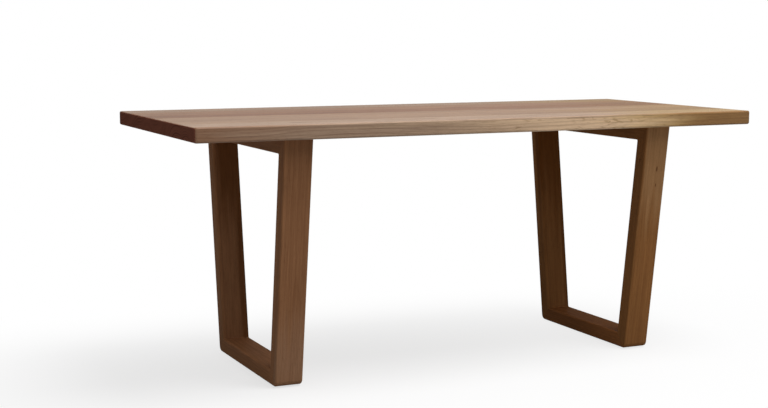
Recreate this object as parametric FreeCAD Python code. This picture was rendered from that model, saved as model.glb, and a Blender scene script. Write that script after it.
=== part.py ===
# Outdoor dining table: a thick plank top carried by two splayed, closed leg frames.
# Lengths are millimetres. +X runs along the table, -Y is its front, +Z is up.
# The origin is on the floor, under the middle of the top.
import FreeCAD, Part

import math
import os

Vector = FreeCAD.Vector

# Overall sizes
TABLE_LENGTH = 1800.0
TABLE_WIDTH = 800.0
TABLE_HEIGHT = 760.0

# Top, edge-jointed from equal planks
PLANK_COUNT = 6
TOP_THICKNESS = 42.0
TOP_CORNER_RADIUS = 8.0
TOP_UPPER_EASE = 5.0
TOP_LOWER_EASE = 6.0
SEAM_BEVEL = 0.8

# Loose tongues glued into the seams between planks
TONGUE_THICKNESS = 8.0
TONGUE_WIDTH = 30.0
TONGUE_END_MARGIN = 60.0

# Steel channel let into the underside, which keeps the planks flat
CHANNEL_WIDTH = 40.0
CHANNEL_HEIGHT = 10.0
CHANNEL_WALL = 2.5
CHANNEL_INNER_BEND = 1.5
CHANNEL_EDGE_MARGIN = 30.0
CHANNEL_SLOT_TRAVEL = 6.0
SCREW_DIAMETER = 6.0
SCREW_DEPTH_IN_WOOD = 14.0
SCREW_HEAD_DIAMETER = 12.0
SCREW_HEAD_HEIGHT = 4.0
SCREW_HEAD_ROUNDING = 2.0
SCREW_SOCKET_WIDTH = 4.0
SCREW_SOCKET_DEPTH = 2.2

# Leg frames: trapezoids that narrow towards the floor
FRAME_END_INSET = 310.0
FRAME_SIDE_INSET = 46.0
FRAME_TAPER = 99.0
FRAME_DEPTH = 84.0
LEG_THICKNESS = 50.0
TOP_RAIL_HEIGHT = 45.0
FOOT_RAIL_HEIGHT = 45.0
FRAME_EDGE_EASE = 6.0
FOOT_CORNER_EXTRA = 12.0
INNER_CORNER_RADIUS = 4.0

# Loose tenons across the mitred frame corners
TENON_THICKNESS = 10.0
TENON_FLAT = 10.0
TENON_LENGTH = 36.0
TENON_SIDE_MARGIN = 22.0
TENON_INSET = 8.0

# Bolts that hold each frame's top rail to the planks
BOLTS_PER_FRAME = 4
BOLT_DIAMETER = 8.0
BOLT_HEAD_DIAMETER = 13.0
BOLT_HEAD_HEIGHT = 8.0
BOLT_HEAD_CHAMFER = 0.8
BOLT_HEAD_RECESS = 2.0
BOLT_SOCKET_WIDTH = 6.0
BOLT_SOCKET_DEPTH = 4.0
BOLT_SLOT_TRAVEL = 6.0
WASHER_DIAMETER = 24.0
WASHER_THICKNESS = 2.0
INSERT_WALL = 3.0
INSERT_LENGTH = 22.0
INSERT_TIP_GAP = 2.0

# Levelling feet under the foot rails, drawn screwed fully in
FOOT_INSET = 60.0
PAD_DIAMETER = 34.0
PAD_FLOOR = 2.0
PAD_CHAMFER = 1.0
PAD_RIM_EASE = 1.0
STUD_DIAMETER = 8.0
STUD_LENGTH = 30.0
STUD_TIP_GAP = 2.0
STUD_FLANGE_DIAMETER = 16.0
STUD_FLANGE_HEIGHT = 2.0
SLEEVE_WALL = 3.0
SLEEVE_LENGTH = 24.0

# Ends of all threaded shanks
THREAD_TIP_CHAMFER = 1.0

# Fits: the gap on each side, the overrun of every cut, and the tolerance for picking edges
GLUE_GAP = 0.15
THREAD_GAP = 0.1
FASTENER_GAP = 0.5
CUT_OVERRUN = 20.0
MATCH_TOLERANCE = 0.001

# Sizes and places that follow from those above
TOP_UNDERSIDE = TABLE_HEIGHT - TOP_THICKNESS
TOP_MID_HEIGHT = TABLE_HEIGHT - TOP_THICKNESS / 2
PLANK_WIDTH = TABLE_WIDTH / PLANK_COUNT
CHANNEL_LENGTH = TABLE_WIDTH - 2 * CHANNEL_EDGE_MARGIN
CHANNEL_ROOF = TOP_UNDERSIDE + CHANNEL_HEIGHT
PAD_HEIGHT = PAD_FLOOR + STUD_FLANGE_HEIGHT
FRAME_BOTTOM = PAD_HEIGHT
FRAME_CENTRE = TABLE_LENGTH / 2 - FRAME_END_INSET
FRAME_CENTRES = {"left": -FRAME_CENTRE, "right": FRAME_CENTRE}
FRAME_TOP_REACH = TABLE_WIDTH / 2 - FRAME_SIDE_INSET
FRAME_FOOT_REACH = FRAME_TOP_REACH - FRAME_TAPER
LEG_SPLAY = FRAME_TAPER / (TOP_UNDERSIDE - FRAME_BOTTOM)
LEG_WIDTH_ACROSS = LEG_THICKNESS * math.hypot(1, LEG_SPLAY)
FOOT_RAIL_TOP = FRAME_BOTTOM + FOOT_RAIL_HEIGHT
TOP_RAIL_BOTTOM = TOP_UNDERSIDE - TOP_RAIL_HEIGHT
FOOT_CORNER_RADIUS = FRAME_EDGE_EASE + FOOT_CORNER_EXTRA
TENON_PITCH = FRAME_DEPTH - 2 * TENON_SIDE_MARGIN
COUNTERBORE_ROOF = TOP_RAIL_BOTTOM + WASHER_THICKNESS + BOLT_HEAD_HEIGHT + BOLT_HEAD_RECESS
COUNTERBORE_DIAMETER = WASHER_DIAMETER + BOLT_SLOT_TRAVEL
BOLT_SEAT = COUNTERBORE_ROOF - WASHER_THICKNESS
BOLT_TIP = TOP_UNDERSIDE + INSERT_LENGTH - INSERT_TIP_GAP
INSERT_BORE = BOLT_DIAMETER + 2 * THREAD_GAP
INSERT_DIAMETER = INSERT_BORE + 2 * INSERT_WALL
SLEEVE_BORE = STUD_DIAMETER + 2 * THREAD_GAP
SLEEVE_DIAMETER = SLEEVE_BORE + 2 * SLEEVE_WALL
FOOT_REACH = FRAME_FOOT_REACH - FOOT_INSET
FOOT_PLACES = {"front": -FOOT_REACH, "rear": FOOT_REACH}


# Basic solids and edge picking

def block(low, high):
    """Box between two opposite corners."""
    size = high - low
    return Part.makeBox(size.x, size.y, size.z, low)


def upright(diameter, x, y, bottom, top):
    """Vertical cylinder between two heights."""
    return Part.makeCylinder(diameter / 2, top - bottom, Vector(x, y, bottom))


def upright_tube(diameter, bore, x, y, bottom, top):
    """Vertical tube between two heights."""
    hole = upright(bore, x, y, bottom - CUT_OVERRUN, top + CUT_OVERRUN)
    return upright(diameter, x, y, bottom, top).cut(hole)


def upright_slot(width, travel, x, y, bottom, top):
    """Vertical bar with round ends, longer along Y by its travel."""
    ends = [upright(width, x, y + side * travel / 2, bottom, top) for side in (-1, 1)]
    low = Vector(x - width / 2, y - travel / 2, bottom)
    high = Vector(x + width / 2, y + travel / 2, top)
    return block(low, high).fuse(ends).removeSplitter()


def shank(diameter, x, y, bottom, tip):
    """Upright threaded shank with a chamfered tip."""
    bar = upright(diameter, x, y, bottom, tip)
    return bar.makeChamfer(THREAD_TIP_CHAMFER, edges_at_height(bar, tip))


def hexagon(width, x, y, bottom, top):
    """Vertical hexagonal bar, measured across its flats."""
    corner = width / math.sqrt(3)
    angles = [math.radians(60 * turn) for turn in range(7)]
    points = [Vector(x + corner * math.cos(a), y + corner * math.sin(a), bottom) for a in angles]
    return Part.Face(Part.makePolygon(points)).extrude(Vector(0, 0, top - bottom))


def prism_along_x(points, x_start, x_end):
    """Solid of a closed (y, z) outline drawn out along X."""
    corners = [Vector(x_start, y, z) for y, z in points]
    outline = Part.makePolygon(corners + corners[:1])
    return Part.Face(outline).extrude(Vector(x_end - x_start, 0, 0))


def near(value, target):
    """Whether two lengths are the same."""
    return abs(value - target) < MATCH_TOLERANCE


def edges_at_height(shape, height):
    """Edges that lie wholly at one height."""
    return [edge for edge in shape.Edges
            if near(edge.BoundBox.ZMin, height) and near(edge.BoundBox.ZMax, height)]


def edges_along_x(shape, points):
    """Straight edges parallel to X that pass through the given (y, z) points."""
    def matches(edge, y, z):
        return all(near(vertex.Y, y) and near(vertex.Z, z) for vertex in edge.Vertexes)
    return [edge for edge in shape.Edges if any(matches(edge, y, z) for y, z in points)]


# Plank top

def plank_front(index):
    """Y of a plank's front face, counted from the front of the table."""
    return index * PLANK_WIDTH - TABLE_WIDTH / 2


def plank_centre(index):
    """Y of a plank's middle."""
    return plank_front(index) + PLANK_WIDTH / 2


def seam_bevels():
    """V-shaped cutters along every seam, above and below."""
    reach = TABLE_LENGTH / 2 + CUT_OVERRUN
    cutters = []
    for index in range(1, PLANK_COUNT):
        seam = plank_front(index)
        for face, outward in ((TABLE_HEIGHT, SEAM_BEVEL), (TOP_UNDERSIDE, -SEAM_BEVEL)):
            mouth = [(seam - 2 * SEAM_BEVEL, face + outward), (seam + 2 * SEAM_BEVEL, face + outward)]
            cutters.append(prism_along_x(mouth + [(seam, face - outward)], -reach, reach))
    return cutters


def top_slab():
    """Whole top before it is parted into planks: rounded corners, eased edges, bevelled seams."""
    low = Vector(-TABLE_LENGTH / 2, -TABLE_WIDTH / 2, TOP_UNDERSIDE)
    high = Vector(TABLE_LENGTH / 2, TABLE_WIDTH / 2, TABLE_HEIGHT)
    slab = block(low, high)
    uprights = [edge for edge in slab.Edges if near(edge.BoundBox.ZLength, TOP_THICKNESS)]
    slab = slab.makeFillet(TOP_CORNER_RADIUS, uprights)
    slab = slab.makeFillet(TOP_UPPER_EASE, edges_at_height(slab, TABLE_HEIGHT))
    slab = slab.makeFillet(TOP_LOWER_EASE, edges_at_height(slab, TOP_UNDERSIDE))
    return slab.cut(seam_bevels())


def loose_tongue(index, gap=0.0):
    """Tongue in the seam in front of a plank, or its groove when a gap is given."""
    seam = plank_front(index)
    reach = TABLE_LENGTH / 2 - TONGUE_END_MARGIN + gap
    half_width = TONGUE_WIDTH / 2 + gap
    half_height = TONGUE_THICKNESS / 2 + gap
    low = Vector(-reach, seam - half_width, TOP_MID_HEIGHT - half_height)
    high = Vector(reach, seam + half_width, TOP_MID_HEIGHT + half_height)
    return block(low, high)


def top_planks():
    """The planks, front to rear, with every groove, pocket and hole cut."""
    grooves = [loose_tongue(index, GLUE_GAP) for index in range(1, PLANK_COUNT)]
    slab = top_slab().cut(grooves + [channel_pocket()] + screw_pilots() + insert_holes())
    reach = TABLE_LENGTH / 2 + CUT_OVERRUN
    planks = []
    for index in range(PLANK_COUNT):
        low = Vector(-reach, plank_front(index), TOP_UNDERSIDE - CUT_OVERRUN)
        high = Vector(reach, plank_front(index + 1), TABLE_HEIGHT + CUT_OVERRUN)
        planks.append(slab.common(block(low, high)))
    return planks


# Underside stiffener

def channel_bar(half_width, half_length, bottom, top):
    """Bar across the middle of the underside."""
    return block(Vector(-half_width, -half_length, bottom), Vector(half_width, half_length, top))


def channel_pocket():
    """Groove in the underside that takes the channel."""
    return channel_bar(CHANNEL_WIDTH / 2 + GLUE_GAP, CHANNEL_LENGTH / 2 + GLUE_GAP,
                       TOP_UNDERSIDE - CUT_OVERRUN, CHANNEL_ROOF + GLUE_GAP)


def bend_upper_edges(bar, radius):
    """Bar with its two upper long edges rounded."""
    upper = edges_at_height(bar, bar.BoundBox.ZMax)
    return bar.makeFillet(radius, [edge for edge in upper if near(edge.BoundBox.XLength, 0)])


def underside_stiffener():
    """Steel channel, open side down and flush with the underside, slotted for each screw."""
    channel = channel_bar(CHANNEL_WIDTH / 2, CHANNEL_LENGTH / 2, TOP_UNDERSIDE, CHANNEL_ROOF)
    channel = bend_upper_edges(channel, CHANNEL_INNER_BEND + CHANNEL_WALL)
    hollow = channel_bar(CHANNEL_WIDTH / 2 - CHANNEL_WALL, CHANNEL_LENGTH / 2 + CUT_OVERRUN,
                         TOP_UNDERSIDE - CUT_OVERRUN, CHANNEL_ROOF - CHANNEL_WALL)
    hollow = bend_upper_edges(hollow, CHANNEL_INNER_BEND)
    slot_width = SCREW_DIAMETER + 2 * FASTENER_GAP
    slots = [
        upright_slot(slot_width, CHANNEL_SLOT_TRAVEL, 0, plank_centre(index),
                     TOP_UNDERSIDE, CHANNEL_ROOF + CUT_OVERRUN)
        for index in range(PLANK_COUNT)
    ]
    return channel.cut([hollow] + slots)


def screw_pilots():
    """Pilot holes for the channel's screws, one in each plank."""
    width = SCREW_DIAMETER + 2 * THREAD_GAP
    tip = CHANNEL_ROOF + SCREW_DEPTH_IN_WOOD + GLUE_GAP
    return [upright(width, 0, plank_centre(index), TOP_UNDERSIDE, tip) for index in range(PLANK_COUNT)]


def stiffener_screws():
    """Pan-head screws with hexagon sockets, under the channel's web."""
    seat = CHANNEL_ROOF - CHANNEL_WALL
    underside = seat - SCREW_HEAD_HEIGHT
    screws = []
    for index in range(PLANK_COUNT):
        y = plank_centre(index)
        head = upright(SCREW_HEAD_DIAMETER, 0, y, underside, seat)
        head = head.makeFillet(SCREW_HEAD_ROUNDING, edges_at_height(head, underside))
        socket = hexagon(SCREW_SOCKET_WIDTH, 0, y, underside, underside + SCREW_SOCKET_DEPTH)
        body = shank(SCREW_DIAMETER, 0, y, seat, CHANNEL_ROOF + SCREW_DEPTH_IN_WOOD)
        screws.append(head.cut(socket).fuse(body))
    return screws


# Leg frames

def outer_half_width(z):
    """Half of a frame's outer width at a height."""
    return FRAME_FOOT_REACH + LEG_SPLAY * (z - FRAME_BOTTOM)


def frame_corners():
    """(outer, inner) pairs of (y, z) corners, from the front foot round to the front top."""
    pairs = []
    for side, outer_z, inner_z in ((-1, FRAME_BOTTOM, FOOT_RAIL_TOP), (1, FRAME_BOTTOM, FOOT_RAIL_TOP),
                                   (1, TOP_UNDERSIDE, TOP_RAIL_BOTTOM), (-1, TOP_UNDERSIDE, TOP_RAIL_BOTTOM)):
        outer = (side * outer_half_width(outer_z), outer_z)
        inner = (side * (outer_half_width(inner_z) - LEG_WIDTH_ACROSS), inner_z)
        pairs.append((outer, inner))
    return pairs


def face_rims(ring, faces):
    """Edges round a frame's two faces, apart from those against the planks."""
    def wanted(edge):
        box = edge.BoundBox
        on_face = any(near(box.XMin, x) and near(box.XMax, x) for x in faces)
        return on_face and not near(box.ZMin, TOP_UNDERSIDE)
    return [edge for edge in ring.Edges if wanted(edge)]


def frame_ring(x):
    """A whole frame before it is parted at the mitres, with its edges eased."""
    outer, inner = zip(*frame_corners())
    faces = (x - FRAME_DEPTH / 2, x + FRAME_DEPTH / 2)
    opening = prism_along_x(inner, faces[0] - CUT_OVERRUN, faces[1] + CUT_OVERRUN)
    ring = prism_along_x(outer, *faces).cut(opening)
    ring = ring.makeFillet(FOOT_CORNER_RADIUS, edges_along_x(ring, outer[:2]))
    ring = ring.makeFillet(INNER_CORNER_RADIUS, edges_along_x(ring, inner))
    return ring.makeFillet(FRAME_EDGE_EASE, face_rims(ring, faces))


def mitre_direction(pair):
    """Unit vector along a mitre, from the outer corner to the inner one."""
    (outer_y, outer_z), (inner_y, inner_z) = pair
    return Vector(0, inner_y - outer_y, inner_z - outer_z).normalize()


def inside_opening(pair):
    """The (y, z) point on a mitre line just inside the frame's opening."""
    point = Vector(0, *pair[1]) + mitre_direction(pair) * CUT_OVERRUN
    return point.y, point.z


def frame_members(x):
    """The four mitred members of one frame, with mortises and holes cut."""
    ring = frame_ring(x).cut(corner_tenons(x, GLUE_GAP) + rail_bolt_holes(x) + foot_holes(x))
    pairs = frame_corners()
    reach = FRAME_DEPTH / 2 + CUT_OVERRUN
    members = {}
    for index, name in enumerate(("foot_rail", "rear_leg", "top_rail", "front_leg")):
        start, end = pairs[index], pairs[(index + 1) % len(pairs)]
        region = [start[0], end[0], inside_opening(end), inside_opening(start)]
        members[name] = ring.common(prism_along_x(region, x - reach, x + reach))
    return members


def tenon(x, pair, gap):
    """Round-edged loose tenon square across one mitre, or its mortise when a gap is given."""
    along = mitre_direction(pair)
    across = Vector(1, 0, 0).cross(along)
    middle = (Vector(x, *pair[0]) + Vector(x, *pair[1])) / 2 + along * TENON_INSET
    half_length = TENON_LENGTH / 2 + gap
    bar = upright_slot(TENON_THICKNESS + 2 * gap, TENON_FLAT, 0, 0, -half_length, half_length)
    bar.Placement = FreeCAD.Placement(FreeCAD.Matrix(
        1, along.x, across.x, middle.x,
        0, along.y, across.y, middle.y,
        0, along.z, across.z, middle.z,
        0, 0, 0, 1,
    ))
    return bar


def corner_tenons(x, gap=0.0):
    """Two tenons side by side in each corner of one frame."""
    return [tenon(x + side * TENON_PITCH / 2, pair, gap) for pair in frame_corners() for side in (-1, 1)]


# Frame bolts

def bolt_places():
    """Y of each bolt: the middle of the planks nearest the centre line."""
    first = (PLANK_COUNT - BOLTS_PER_FRAME) // 2
    return [plank_centre(first + index) for index in range(BOLTS_PER_FRAME)]


def rail_bolt_holes(x):
    """Slots through a top rail, so that the planks can swell, each with a counterbore below."""
    slot_width = BOLT_DIAMETER + 2 * FASTENER_GAP
    cutters = []
    for y in bolt_places():
        cutters.append(upright_slot(slot_width, BOLT_SLOT_TRAVEL, x, y,
                                    TOP_RAIL_BOTTOM, TOP_UNDERSIDE + CUT_OVERRUN))
        cutters.append(upright(COUNTERBORE_DIAMETER, x, y, TOP_RAIL_BOTTOM - CUT_OVERRUN, COUNTERBORE_ROOF))
    return cutters


def frame_bolts(x):
    """Socket-head bolts, head down in the counterbores."""
    underside = BOLT_SEAT - BOLT_HEAD_HEIGHT
    bolts = []
    for y in bolt_places():
        head = upright(BOLT_HEAD_DIAMETER, x, y, underside, BOLT_SEAT)
        head = head.makeChamfer(BOLT_HEAD_CHAMFER, edges_at_height(head, underside))
        socket = hexagon(BOLT_SOCKET_WIDTH, x, y, underside, underside + BOLT_SOCKET_DEPTH)
        bolts.append(head.cut(socket).fuse(shank(BOLT_DIAMETER, x, y, BOLT_SEAT, BOLT_TIP)))
    return bolts


def bolt_washers(x):
    """Plain washers between the bolt heads and the rail."""
    bore = BOLT_DIAMETER + 2 * THREAD_GAP
    return [upright_tube(WASHER_DIAMETER, bore, x, y, BOLT_SEAT, COUNTERBORE_ROOF) for y in bolt_places()]


def insert_holes():
    """Blind holes in the underside for the threaded inserts of both frames."""
    width = INSERT_DIAMETER + 2 * GLUE_GAP
    roof = TOP_UNDERSIDE + INSERT_LENGTH + GLUE_GAP
    return [upright(width, x, y, TOP_UNDERSIDE - CUT_OVERRUN, roof)
            for x in FRAME_CENTRES.values() for y in bolt_places()]


def top_inserts(x):
    """Threaded inserts in the planks that take one frame's bolts."""
    top = TOP_UNDERSIDE + INSERT_LENGTH
    return [upright_tube(INSERT_DIAMETER, INSERT_BORE, x, y, TOP_UNDERSIDE, top) for y in bolt_places()]


# Levelling feet

def foot_holes(x):
    """Holes in a foot rail for the threaded sleeves and for the stud tips above them."""
    cutters = []
    for y in FOOT_PLACES.values():
        cutters.append(upright(SLEEVE_DIAMETER + 2 * GLUE_GAP, x, y,
                               FRAME_BOTTOM - CUT_OVERRUN, FRAME_BOTTOM + SLEEVE_LENGTH + GLUE_GAP))
        cutters.append(upright(STUD_DIAMETER + 2 * FASTENER_GAP, x, y,
                               FRAME_BOTTOM, FRAME_BOTTOM + STUD_LENGTH + STUD_TIP_GAP))
    return cutters


def foot_sleeves(x):
    """Threaded sleeves in a foot rail that the foot studs screw into."""
    top = FRAME_BOTTOM + SLEEVE_LENGTH
    return [upright_tube(SLEEVE_DIAMETER, SLEEVE_BORE, x, y, FRAME_BOTTOM, top) for y in FOOT_PLACES.values()]


def foot_stud(x, y):
    """Threaded stud of one foot, with the flange that is pressed into its pad."""
    flange = upright(STUD_FLANGE_DIAMETER, x, y, PAD_FLOOR, PAD_HEIGHT)
    return flange.fuse(shank(STUD_DIAMETER, x, y, PAD_HEIGHT, FRAME_BOTTOM + STUD_LENGTH))


def foot_pad(x, y):
    """Round glide pad of one foot, chamfered at the floor and recessed for the stud's flange."""
    pad = upright(PAD_DIAMETER, x, y, 0, PAD_HEIGHT)
    pad = pad.makeFillet(PAD_RIM_EASE, edges_at_height(pad, PAD_HEIGHT))
    pad = pad.makeChamfer(PAD_CHAMFER, edges_at_height(pad, 0))
    return pad.cut(upright(STUD_FLANGE_DIAMETER + 2 * GLUE_GAP, x, y, PAD_FLOOR, PAD_HEIGHT + CUT_OVERRUN))


# All pieces by node name

def frame_pieces(side, x):
    """Names and shapes of one leg frame, its fasteners and its feet."""
    nodes = {f"{side}_{name}": member for name, member in frame_members(x).items()}
    groups = {
        "corner_tenons": corner_tenons(x),
        "frame_bolts": frame_bolts(x),
        "bolt_washers": bolt_washers(x),
        "top_inserts": top_inserts(x),
        "foot_sleeves": foot_sleeves(x),
    }
    for name, solids in groups.items():
        nodes[f"{side}_{name}"] = Part.makeCompound(solids)
    for place, y in FOOT_PLACES.items():
        nodes[f"{side}_{place}_foot_pad"] = foot_pad(x, y)
        nodes[f"{side}_{place}_foot_stud"] = foot_stud(x, y)
    return nodes


def pieces():
    """Every node's name with its solid or group of solids."""
    nodes = {f"top_plank_{index}": plank for index, plank in enumerate(top_planks(), start=1)}
    for index in range(1, PLANK_COUNT):
        nodes[f"loose_tongue_{index}"] = loose_tongue(index)
    nodes["underside_stiffener"] = underside_stiffener()
    nodes["stiffener_screws"] = Part.makeCompound(stiffener_screws())
    for side, x in FRAME_CENTRES.items():
        nodes.update(frame_pieces(side, x))
    return nodes


def main():
    """Writes one STEP file for each node."""
    os.makedirs("parts", exist_ok=True)
    for name, shape in pieces().items():
        print(f"{name}: solids {len(shape.Solids)}, valid {shape.isValid()}")
        shape.exportStep(f"parts/{name}.step")


main()
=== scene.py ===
import logging
import math
from dataclasses import dataclass
from enum import Enum
from typing import ClassVar, Mapping, Sequence, Union

import bpy
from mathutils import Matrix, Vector


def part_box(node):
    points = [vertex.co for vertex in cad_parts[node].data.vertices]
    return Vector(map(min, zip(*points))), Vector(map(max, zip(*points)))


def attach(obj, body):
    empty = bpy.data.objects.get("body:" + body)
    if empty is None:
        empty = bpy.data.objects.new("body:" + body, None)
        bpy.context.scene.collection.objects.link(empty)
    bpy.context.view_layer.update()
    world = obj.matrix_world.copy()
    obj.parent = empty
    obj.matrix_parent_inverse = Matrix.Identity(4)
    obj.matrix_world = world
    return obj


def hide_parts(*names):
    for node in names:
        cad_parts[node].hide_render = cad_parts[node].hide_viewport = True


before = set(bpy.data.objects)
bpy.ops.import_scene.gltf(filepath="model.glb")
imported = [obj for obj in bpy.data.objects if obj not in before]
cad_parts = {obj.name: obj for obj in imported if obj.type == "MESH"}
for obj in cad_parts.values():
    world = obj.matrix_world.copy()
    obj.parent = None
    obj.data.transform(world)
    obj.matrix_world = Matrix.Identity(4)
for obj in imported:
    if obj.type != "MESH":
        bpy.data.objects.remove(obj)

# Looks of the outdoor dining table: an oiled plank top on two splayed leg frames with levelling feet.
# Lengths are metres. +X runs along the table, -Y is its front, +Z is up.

LOG = logging.getLogger("outdoor_table")
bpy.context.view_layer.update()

Pair = tuple[float, float]
Triple = tuple[float, float, float]
Feed = Union[float, Triple, "Signal"]
Signals = Mapping[str, "Signal"]

WHITE: Triple = (1.0, 1.0, 1.0)
BLACK: Triple = (0.0, 0.0, 0.0)


class Side(Enum):
    """Which leg frame, seen from the table's front."""

    LEFT = "left"
    RIGHT = "right"


class Place(Enum):
    """Which end of a leg frame."""

    FRONT = "front"
    REAR = "rear"


class Member(Enum):
    """The wooden members of a leg frame."""

    FRONT_LEG = "front_leg"
    REAR_LEG = "rear_leg"
    TOP_RAIL = "top_rail"
    FOOT_RAIL = "foot_rail"
    TENONS = "corner_tenons"


class Outline(Enum):
    """Outlines of one ring of a turned form."""

    ROUND = "round"
    HEXAGON = "hexagon"
    RIBBED = "ribbed"
    THREAD = "thread"


class SocketKind(Enum):
    """Kinds of socket on a shared effect."""

    VALUE = "NodeSocketFloat"
    VECTOR = "NodeSocketVector"
    COLOUR = "NodeSocketColor"

    def each(self, *names: str) -> dict[str, "SocketKind"]:
        """Returns this kind for each of some named sockets."""
        return dict.fromkeys(names, self)


VALUES, VECTORS, COLOURS = (kind.each for kind in SocketKind)


# Node wiring

class Wiring:
    """Adds nodes to one node tree and joins them."""

    def __init__(self, tree: bpy.types.NodeTree) -> None:
        """Takes the tree to work in."""
        self.tree = tree

    def node(self, kind: str, *values: Feed, **settings: object) -> bpy.types.Node:
        """Adds a node.

        Args:
            kind: Blender's type name without its ShaderNode prefix.
            values: What feeds its first inputs.
            settings: Properties to set on it.

        Returns:
            The new node.
        """
        made = self.tree.nodes.new("ShaderNode" + kind)
        for key, value in settings.items():
            setattr(made, key, value)
        for socket, value in zip(made.inputs, values):
            self.feed(socket, value)
        return made

    def feed(self, socket: bpy.types.NodeSocket, value: Feed) -> None:
        """Links a socket to a signal, or sets its value.

        Args:
            socket: The socket to feed.
            value: A signal, a number, a vector or a colour.
        """
        if isinstance(value, Signal):
            self.tree.links.new(value.socket, socket)
        elif socket.type == "RGBA":
            socket.default_value = (*value, 1.0)
        elif socket.type == "VECTOR" and isinstance(value, float):
            socket.default_value = (value, value, value)
        else:
            socket.default_value = value

    def feed_named(self, node: bpy.types.Node, values: Mapping[str, Feed]) -> None:
        """Feeds a node's inputs by their names."""
        for key, value in values.items():
            self.feed(node.inputs[key], value)

    def signal(self, kind: str, *values: Feed, output: Union[int, str] = 0, **settings: object) -> "Signal":
        """Adds a node as node() does, and returns one of its outputs."""
        return Signal(self.node(kind, *values, **settings).outputs[output])

    def colour(self, colour: Triple) -> "Signal":
        """Adds a plain colour.

        Args:
            colour: The colour.

        Returns:
            The colour as a signal.
        """
        made = self.node("RGB")
        self.feed(made.outputs[0], colour)
        return Signal(made.outputs[0])

    def effect(self, effect: "Effect", **given: Feed) -> Signals:
        """Places a shared effect.

        Args:
            effect: The effect to place.
            given: Values by socket name, with underscores for spaces.

        Returns:
            The effect's outputs by name.
        """
        made = self.node("Group", node_tree=effect.group(), label=effect.name)
        self.feed_named(made, {key.replace("_", " "): value for key, value in given.items()})
        return {socket.name: Signal(socket) for socket in made.outputs}


class Signal:
    """A number, vector, colour or shader that a node puts out. Sums of signals add nodes to their tree."""

    def __init__(self, socket: bpy.types.NodeSocket) -> None:
        """Takes the node's output."""
        self.socket, self.wiring = socket, Wiring(socket.id_data)

    def maths(self, operation: str, *others: Feed) -> "Signal":
        """Returns a sum of one kind: of numbers if this is one, or else of vectors."""
        kind = "Math" if self.socket.type == "VALUE" else "VectorMath"
        return self.wiring.signal(kind, self, *others, operation=operation)

    def __add__(self, other: Feed) -> "Signal":
        """Returns this plus another."""
        return self.maths("ADD", other)

    def __sub__(self, other: Feed) -> "Signal":
        """Returns this less another."""
        return self.maths("SUBTRACT", other)

    def __mul__(self, other: Feed) -> "Signal":
        """Returns this times another."""
        return self.maths("MULTIPLY", other)

    def __truediv__(self, other: Feed) -> "Signal":
        """Returns this divided by another."""
        return self.maths("DIVIDE", other)

    def dot(self, other: Feed) -> "Signal":
        """Returns the dot product of two vectors."""
        return self.wiring.signal("VectorMath", self, other, output="Value", operation="DOT_PRODUCT")

    def length(self) -> "Signal":
        """Returns a vector's length."""
        return self.wiring.signal("VectorMath", self, output="Value", operation="LENGTH")

    def split(self) -> tuple["Signal", ...]:
        """Returns a vector's three parts."""
        return tuple(map(Signal, self.wiring.node("SeparateXYZ", self).outputs))

    def join(self, second: Feed, third: Feed) -> "Signal":
        """Returns a vector of this number and two others."""
        return self.wiring.signal("CombineXYZ", self, second, third)

    def thrice(self) -> "Signal":
        """Returns a vector with this number in all three parts."""
        return self.join(self, self)

    def step(self, low: Feed, high: Feed, start: Feed = 0.0, end: Feed = 1.0) -> "Signal":
        """Returns a smooth step from start, up to low, to end, from high on."""
        return self.wiring.signal("MapRange", self, low, high, start, end, interpolation_type="SMOOTHSTEP")

    def fall(self, low: Feed, high: Feed) -> "Signal":
        """Returns a smooth step down from 1 to 0."""
        return self.step(low, high, 1.0, 0.0)

    def random(self) -> "Signal":
        """Returns a number from 0 to 1 that looks random but depends only on this one."""
        return self.wiring.signal("TexWhiteNoise", BLACK, self, output="Value", noise_dimensions="1D")

    def noise(self, detail: float = 2.0, roughness: float = 0.5, output: str = "Fac") -> "Signal":
        """Reads soft noise of unit scale at this place.

        Args:
            detail: How many finer layers it has.
            roughness: How strong those are.
            output: Fac for one number, Color for three.

        Returns:
            The noise.
        """
        made = self.wiring.node("TexNoise", noise_dimensions="3D")
        self.wiring.feed_named(made, {"Vector": self, "Scale": 1.0, "Detail": detail, "Roughness": roughness})
        return Signal(made.outputs[output])

    def blend(self, share: Feed, over: Feed, mode: str = "MIX") -> "Signal":
        """Lays another colour over this one.

        Args:
            share: How much of the other colour shows.
            over: The other colour.
            mode: Blender's name of the way of mixing.

        Returns:
            The mixed colour.
        """
        made = self.wiring.node("Mix", data_type="RGBA", blend_type=mode)
        sockets = {socket.identifier: socket for socket in made.inputs}
        for key, value in {"Factor_Float": share, "A_Color": self, "B_Color": over}.items():
            self.wiring.feed(sockets[key], value)
        return next(Signal(socket) for socket in made.outputs if socket.identifier == "Result_Color")

    def tinted(self, tint: Feed) -> "Signal":
        """Returns this colour multiplied by another."""
        return self.blend(1.0, tint, "MULTIPLY")

    def mix(self, first: "Signal", second: "Signal") -> "Signal":
        """Returns a mix of two shaders, with this number as the second one's share."""
        return self.wiring.signal("MixShader", self, first, second)


# Shared effects

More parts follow.
